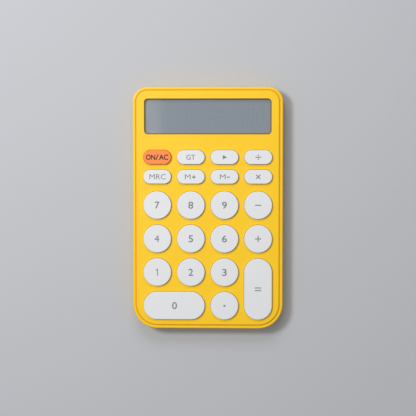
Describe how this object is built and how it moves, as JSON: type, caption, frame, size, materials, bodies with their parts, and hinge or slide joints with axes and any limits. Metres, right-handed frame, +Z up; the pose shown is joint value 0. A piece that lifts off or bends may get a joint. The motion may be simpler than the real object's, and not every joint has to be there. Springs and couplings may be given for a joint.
{
  "type": "desk calculator",
  "caption": "Flat desk calculator: tray-shaped case, inset cover, wide display window, pill-shaped function keys, round digit keys, a long zero key and a tall equals key.",
  "frame": {"origin": "under the middle of the body, on the plane that the rubber feet stand on", "axes": "+X to the right across the keypad, +Y from the zero key towards the display, +Z up out of the keys"},
  "size_m": [0.097, 0.1564, 0.0131],
  "materials": {
    "case_yellow": "moulded yellow ABS, satin",
    "cover_yellow": "moulded yellow ABS, satin",
    "cap_yellow": "moulded yellow ABS, satin",
    "lens_clear": "clear acrylic window, glossy",
    "tape_dark": "black double-sided tape",
    "polariser_grey": "grey polarising film",
    "lcd_glass": "thin glass",
    "reflector_grey": "matt reflective film",
    "zebra_rubber": "layered silicone strip",
    "foam_dark": "foam",
    "board_green": "solder resist on glass-fibre board",
    "pad_carbon": "printed carbon",
    "resin_black": "black resin",
    "ceramic_tan": "ceramic",
    "resistor_black": "ceramic with black coat",
    "sheet_rubber": "translucent white silicone",
    "pill_carbon": "conductive rubber",
    "cell_steel": "nickel-plated steel",
    "carrier_white": "moulded white ABS",
    "contact_bronze": "phosphor-bronze spring strip",
    "lead_red": "red insulated lead",
    "lead_black": "black insulated lead",
    "screw_steel": "zinc-plated steel",
    "foot_rubber": "dark grey rubber",
    "key_white": "moulded white ABS, satin",
    "key_orange": "moulded orange ABS, satin",
    "legend_grey": "printed grey ink",
    "legend_dark": "printed dark ink",
    "segment_grey": "display segments that are off"
  },
  "bodies": {
    "body": {"rear_case": "case_yellow", "front_cover": "cover_yellow", "display_lens": "lens_clear", "lens_tape": "tape_dark", "lcd_front_polariser": "polariser_grey", "lcd_front_glass": "lcd_glass", "lcd_rear_glass": "lcd_glass", "lcd_reflector": "reflector_grey", "lcd_zebra_connector": "zebra_rubber", "lcd_foam_pads": "foam_dark", "circuit_board": "board_green", "contact_pads": "pad_carbon", "controller_chip": "resin_black", "chip_capacitors": "ceramic_tan", "chip_resistors": "resistor_black", "rubber_keypad": "sheet_rubber", "carbon_pills": "pill_carbon", "button_cell": "cell_steel", "battery_contact_carrier": "carrier_white", "battery_contact_positive": "contact_bronze", "battery_contact_negative": "contact_bronze", "battery_lead_red": "lead_red", "battery_lead_black": "lead_black", "case_screws": "screw_steel", "board_screws": "screw_steel", "carrier_screws": "screw_steel", "foot_display_left": "foot_rubber", "foot_display_right": "foot_rubber", "foot_near_left": "foot_rubber", "foot_near_right": "foot_rubber"},
    "battery_cap": {"battery_cap": "cap_yellow"},
    "key_on_ac": {"key_on_ac": "key_orange"},
    "key_gt": {"key_gt": "key_white"},
    "key_backspace": {"key_backspace": "key_white"},
    "key_divide": {"key_divide": "key_white"},
    "key_mrc": {"key_mrc": "key_white"},
    "key_m_plus": {"key_m_plus": "key_white"},
    "key_m_minus": {"key_m_minus": "key_white"},
    "key_multiply": {"key_multiply": "key_white"},
    "key_7": {"key_7": "key_white"},
    "key_8": {"key_8": "key_white"},
    "key_9": {"key_9": "key_white"},
    "key_minus": {"key_minus": "key_white"},
    "key_4": {"key_4": "key_white"},
    "key_5": {"key_5": "key_white"},
    "key_6": {"key_6": "key_white"},
    "key_plus": {"key_plus": "key_white"},
    "key_1": {"key_1": "key_white"},
    "key_2": {"key_2": "key_white"},
    "key_3": {"key_3": "key_white"},
    "key_equals": {"key_equals": "key_white"},
    "key_0": {"key_0": "key_white"},
    "key_point": {"key_point": "key_white"}
  },
  "joints": [
    {"name": "battery_cap_turn", "type": "hinge", "parent": "body", "child": "battery_cap", "pos_m": [0, 0.06207, 0.0008], "axis": [0, 0, -1], "range_deg": [0, 45]},
    {"name": "press_on_ac", "type": "slide", "parent": "body", "child": "key_on_ac", "axis": [0, 0, 1], "range_m": [-0.0012, 0], "stiffness_N_per_m": 400, "springref_m": 0.0003, "deforming": ["rubber_keypad", "carbon_pills"]},
    {"name": "press_gt", "type": "slide", "parent": "body", "child": "key_gt", "axis": [0, 0, 1], "range_m": [-0.0012, 0], "stiffness_N_per_m": 400, "springref_m": 0.0003, "deforming": ["rubber_keypad", "carbon_pills"]},
    {"name": "press_backspace", "type": "slide", "parent": "body", "child": "key_backspace", "axis": [0, 0, 1], "range_m": [-0.0012, 0], "stiffness_N_per_m": 400, "springref_m": 0.0003, "deforming": ["rubber_keypad", "carbon_pills"]},
    {"name": "press_divide", "type": "slide", "parent": "body", "child": "key_divide", "axis": [0, 0, 1], "range_m": [-0.0012, 0], "stiffness_N_per_m": 400, "springref_m": 0.0003, "deforming": ["rubber_keypad", "carbon_pills"]},
    {"name": "press_mrc", "type": "slide", "parent": "body", "child": "key_mrc", "axis": [0, 0, 1], "range_m": [-0.0012, 0], "stiffness_N_per_m": 400, "springref_m": 0.0003, "deforming": ["rubber_keypad", "carbon_pills"]},
    {"name": "press_m_plus", "type": "slide", "parent": "body", "child": "key_m_plus", "axis": [0, 0, 1], "range_m": [-0.0012, 0], "stiffness_N_per_m": 400, "springref_m": 0.0003, "deforming": ["rubber_keypad", "carbon_pills"]},
    {"name": "press_m_minus", "type": "slide", "parent": "body", "child": "key_m_minus", "axis": [0, 0, 1], "range_m": [-0.0012, 0], "stiffness_N_per_m": 400, "springref_m": 0.0003, "deforming": ["rubber_keypad", "carbon_pills"]},
    {"name": "press_multiply", "type": "slide", "parent": "body", "child": "key_multiply", "axis": [0, 0, 1], "range_m": [-0.0012, 0], "stiffness_N_per_m": 400, "springref_m": 0.0003, "deforming": ["rubber_keypad", "carbon_pills"]},
    {"name": "press_7", "type": "slide", "parent": "body", "child": "key_7", "axis": [0, 0, 1], "range_m": [-0.0012, 0], "stiffness_N_per_m": 400, "springref_m": 0.0003, "deforming": ["rubber_keypad", "carbon_pills"]},
    {"name": "press_8", "type": "slide", "parent": "body", "child": "key_8", "axis": [0, 0, 1], "range_m": [-0.0012, 0], "stiffness_N_per_m": 400, "springref_m": 0.0003, "deforming": ["rubber_keypad", "carbon_pills"]},
    {"name": "press_9", "type": "slide", "parent": "body", "child": "key_9", "axis": [0, 0, 1], "range_m": [-0.0012, 0], "stiffness_N_per_m": 400, "springref_m": 0.0003, "deforming": ["rubber_keypad", "carbon_pills"]},
    {"name": "press_minus", "type": "slide", "parent": "body", "child": "key_minus", "axis": [0, 0, 1], "range_m": [-0.0012, 0], "stiffness_N_per_m": 400, "springref_m": 0.0003, "deforming": ["rubber_keypad", "carbon_pills"]},
    {"name": "press_4", "type": "slide", "parent": "body", "child": "key_4", "axis": [0, 0, 1], "range_m": [-0.0012, 0], "stiffness_N_per_m": 400, "springref_m": 0.0003, "deforming": ["rubber_keypad", "carbon_pills"]},
    {"name": "press_5", "type": "slide", "parent": "body", "child": "key_5", "axis": [0, 0, 1], "range_m": [-0.0012, 0], "stiffness_N_per_m": 400, "springref_m": 0.0003, "deforming": ["rubber_keypad", "carbon_pills"]},
    {"name": "press_6", "type": "slide", "parent": "body", "child": "key_6", "axis": [0, 0, 1], "range_m": [-0.0012, 0], "stiffness_N_per_m": 400, "springref_m": 0.0003, "deforming": ["rubber_keypad", "carbon_pills"]},
    {"name": "press_plus", "type": "slide", "parent": "body", "child": "key_plus", "axis": [0, 0, 1], "range_m": [-0.0012, 0], "stiffness_N_per_m": 400, "springref_m": 0.0003, "deforming": ["rubber_keypad", "carbon_pills"]},
    {"name": "press_1", "type": "slide", "parent": "body", "child": "key_1", "axis": [0, 0, 1], "range_m": [-0.0012, 0], "stiffness_N_per_m": 400, "springref_m": 0.0003, "deforming": ["rubber_keypad", "carbon_pills"]},
    {"name": "press_2", "type": "slide", "parent": "body", "child": "key_2", "axis": [0, 0, 1], "range_m": [-0.0012, 0], "stiffness_N_per_m": 400, "springref_m": 0.0003, "deforming": ["rubber_keypad", "carbon_pills"]},
    {"name": "press_3", "type": "slide", "parent": "body", "child": "key_3", "axis": [0, 0, 1], "range_m": [-0.0012, 0], "stiffness_N_per_m": 400, "springref_m": 0.0003, "deforming": ["rubber_keypad", "carbon_pills"]},
    {"name": "press_equals", "type": "slide", "parent": "body", "child": "key_equals", "axis": [0, 0, 1], "range_m": [-0.0012, 0], "stiffness_N_per_m": 400, "springref_m": 0.0003, "deforming": ["rubber_keypad", "carbon_pills"]},
    {"name": "press_0", "type": "slide", "parent": "body", "child": "key_0", "axis": [0, 0, 1], "range_m": [-0.0012, 0], "stiffness_N_per_m": 400, "springref_m": 0.0003, "deforming": ["rubber_keypad", "carbon_pills"]},
    {"name": "press_point", "type": "slide", "parent": "body", "child": "key_point", "axis": [0, 0, 1], "range_m": [-0.0012, 0], "stiffness_N_per_m": 400, "springref_m": 0.0003, "deforming": ["rubber_keypad", "carbon_pills"]}
  ]
}
